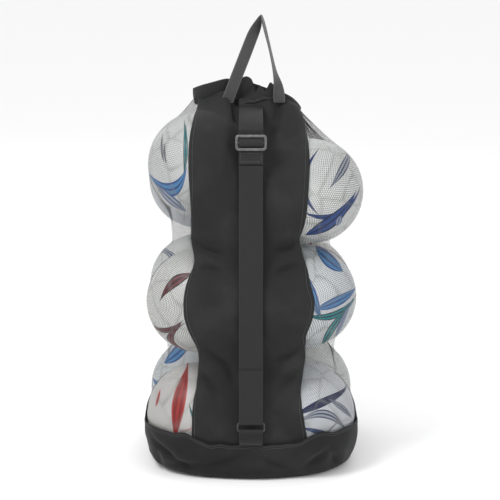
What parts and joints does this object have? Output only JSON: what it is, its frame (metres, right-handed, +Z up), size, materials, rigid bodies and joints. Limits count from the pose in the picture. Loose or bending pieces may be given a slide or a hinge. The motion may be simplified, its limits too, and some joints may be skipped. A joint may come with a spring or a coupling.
{
  "type": "mesh ball bag",
  "caption": "Tall mesh ball bag, filled with footballs, with a cloth front panel, base and gathered collar, a grab handle and a shoulder strap with slider and ring.",
  "frame": {"origin": "on the floor, under the middle of the bag's square base", "axes": "+Z up the bag to the handle, -Y out of the front, where the strap is, +X to the right seen from the front"},
  "size_m": [0.4654, 0.4688, 0.962],
  "materials": {
    "net_knit": "matte",
    "panel_cloth": "matte",
    "base_cloth": "matte",
    "collar_cloth": "matte",
    "handle_webbing": "matte",
    "strap_webbing": "matte",
    "sewing_thread": "matte",
    "slider_metal": "satin",
    "blackened_metal": "satin",
    "ball_white": "satin",
    "ball_red": "satin",
    "ball_navy": "satin",
    "ball_blue": "satin",
    "valve_rubber": "matte"
  },
  "bodies": {
    "root": {"mesh_body": "net_knit", "front_panel": "panel_cloth", "base_wall": "base_cloth", "base_floor": "base_cloth", "collar": "collar_cloth", "drawcord_eyelets": "blackened_metal", "handle_feet": "handle_webbing", "handle_bartacks": "sewing_thread", "strap_long": "strap_webbing", "strap_front": "strap_webbing", "strap_lower": "strap_webbing", "ring_tab": "strap_webbing", "ring_tab_bartack": "sewing_thread", "ball_low_front_left": "ball_red", "ball_low_front_right": "ball_navy", "ball_low_back_left": "ball_blue", "ball_low_back_right": "ball_white", "ball_mid_front_left": "ball_white", "ball_mid_front_right": "ball_blue", "ball_mid_back_left": "ball_white", "ball_mid_back_right": "ball_red", "ball_top_front_left": "ball_white", "ball_top_front_right": "ball_white", "ball_top_back_left": "ball_navy", "ball_top_back_right": "ball_white", "ball_valves": "valve_rubber"},
    "handle": {"grab_handle": "handle_webbing"},
    "slider": {"strap_slider": "slider_metal", "strap_fold": "strap_webbing", "strap_hump": "strap_webbing"},
    "ring": {"strap_ring": "blackened_metal", "strap_loop": "strap_webbing"}
  },
  "joints": [
    {"name": "handle_swing", "type": "hinge", "parent": "root", "child": "handle", "pos_m": [0.005, -0.0686, 0.7935], "axis": [1, 0, 0], "range_deg": [0, 100]},
    {"name": "slider_slide", "type": "slide", "parent": "root", "child": "slider", "axis": [0, -0.0703, -0.9975], "range_m": [0, 0.3], "deforming": ["strap_front"]},
    {"name": "ring_swivel", "type": "hinge", "parent": "root", "child": "ring", "pos_m": [0, -0.23567, 0.112], "axis": [1, 0, 0], "range_deg": [0, 18]}
  ]
}
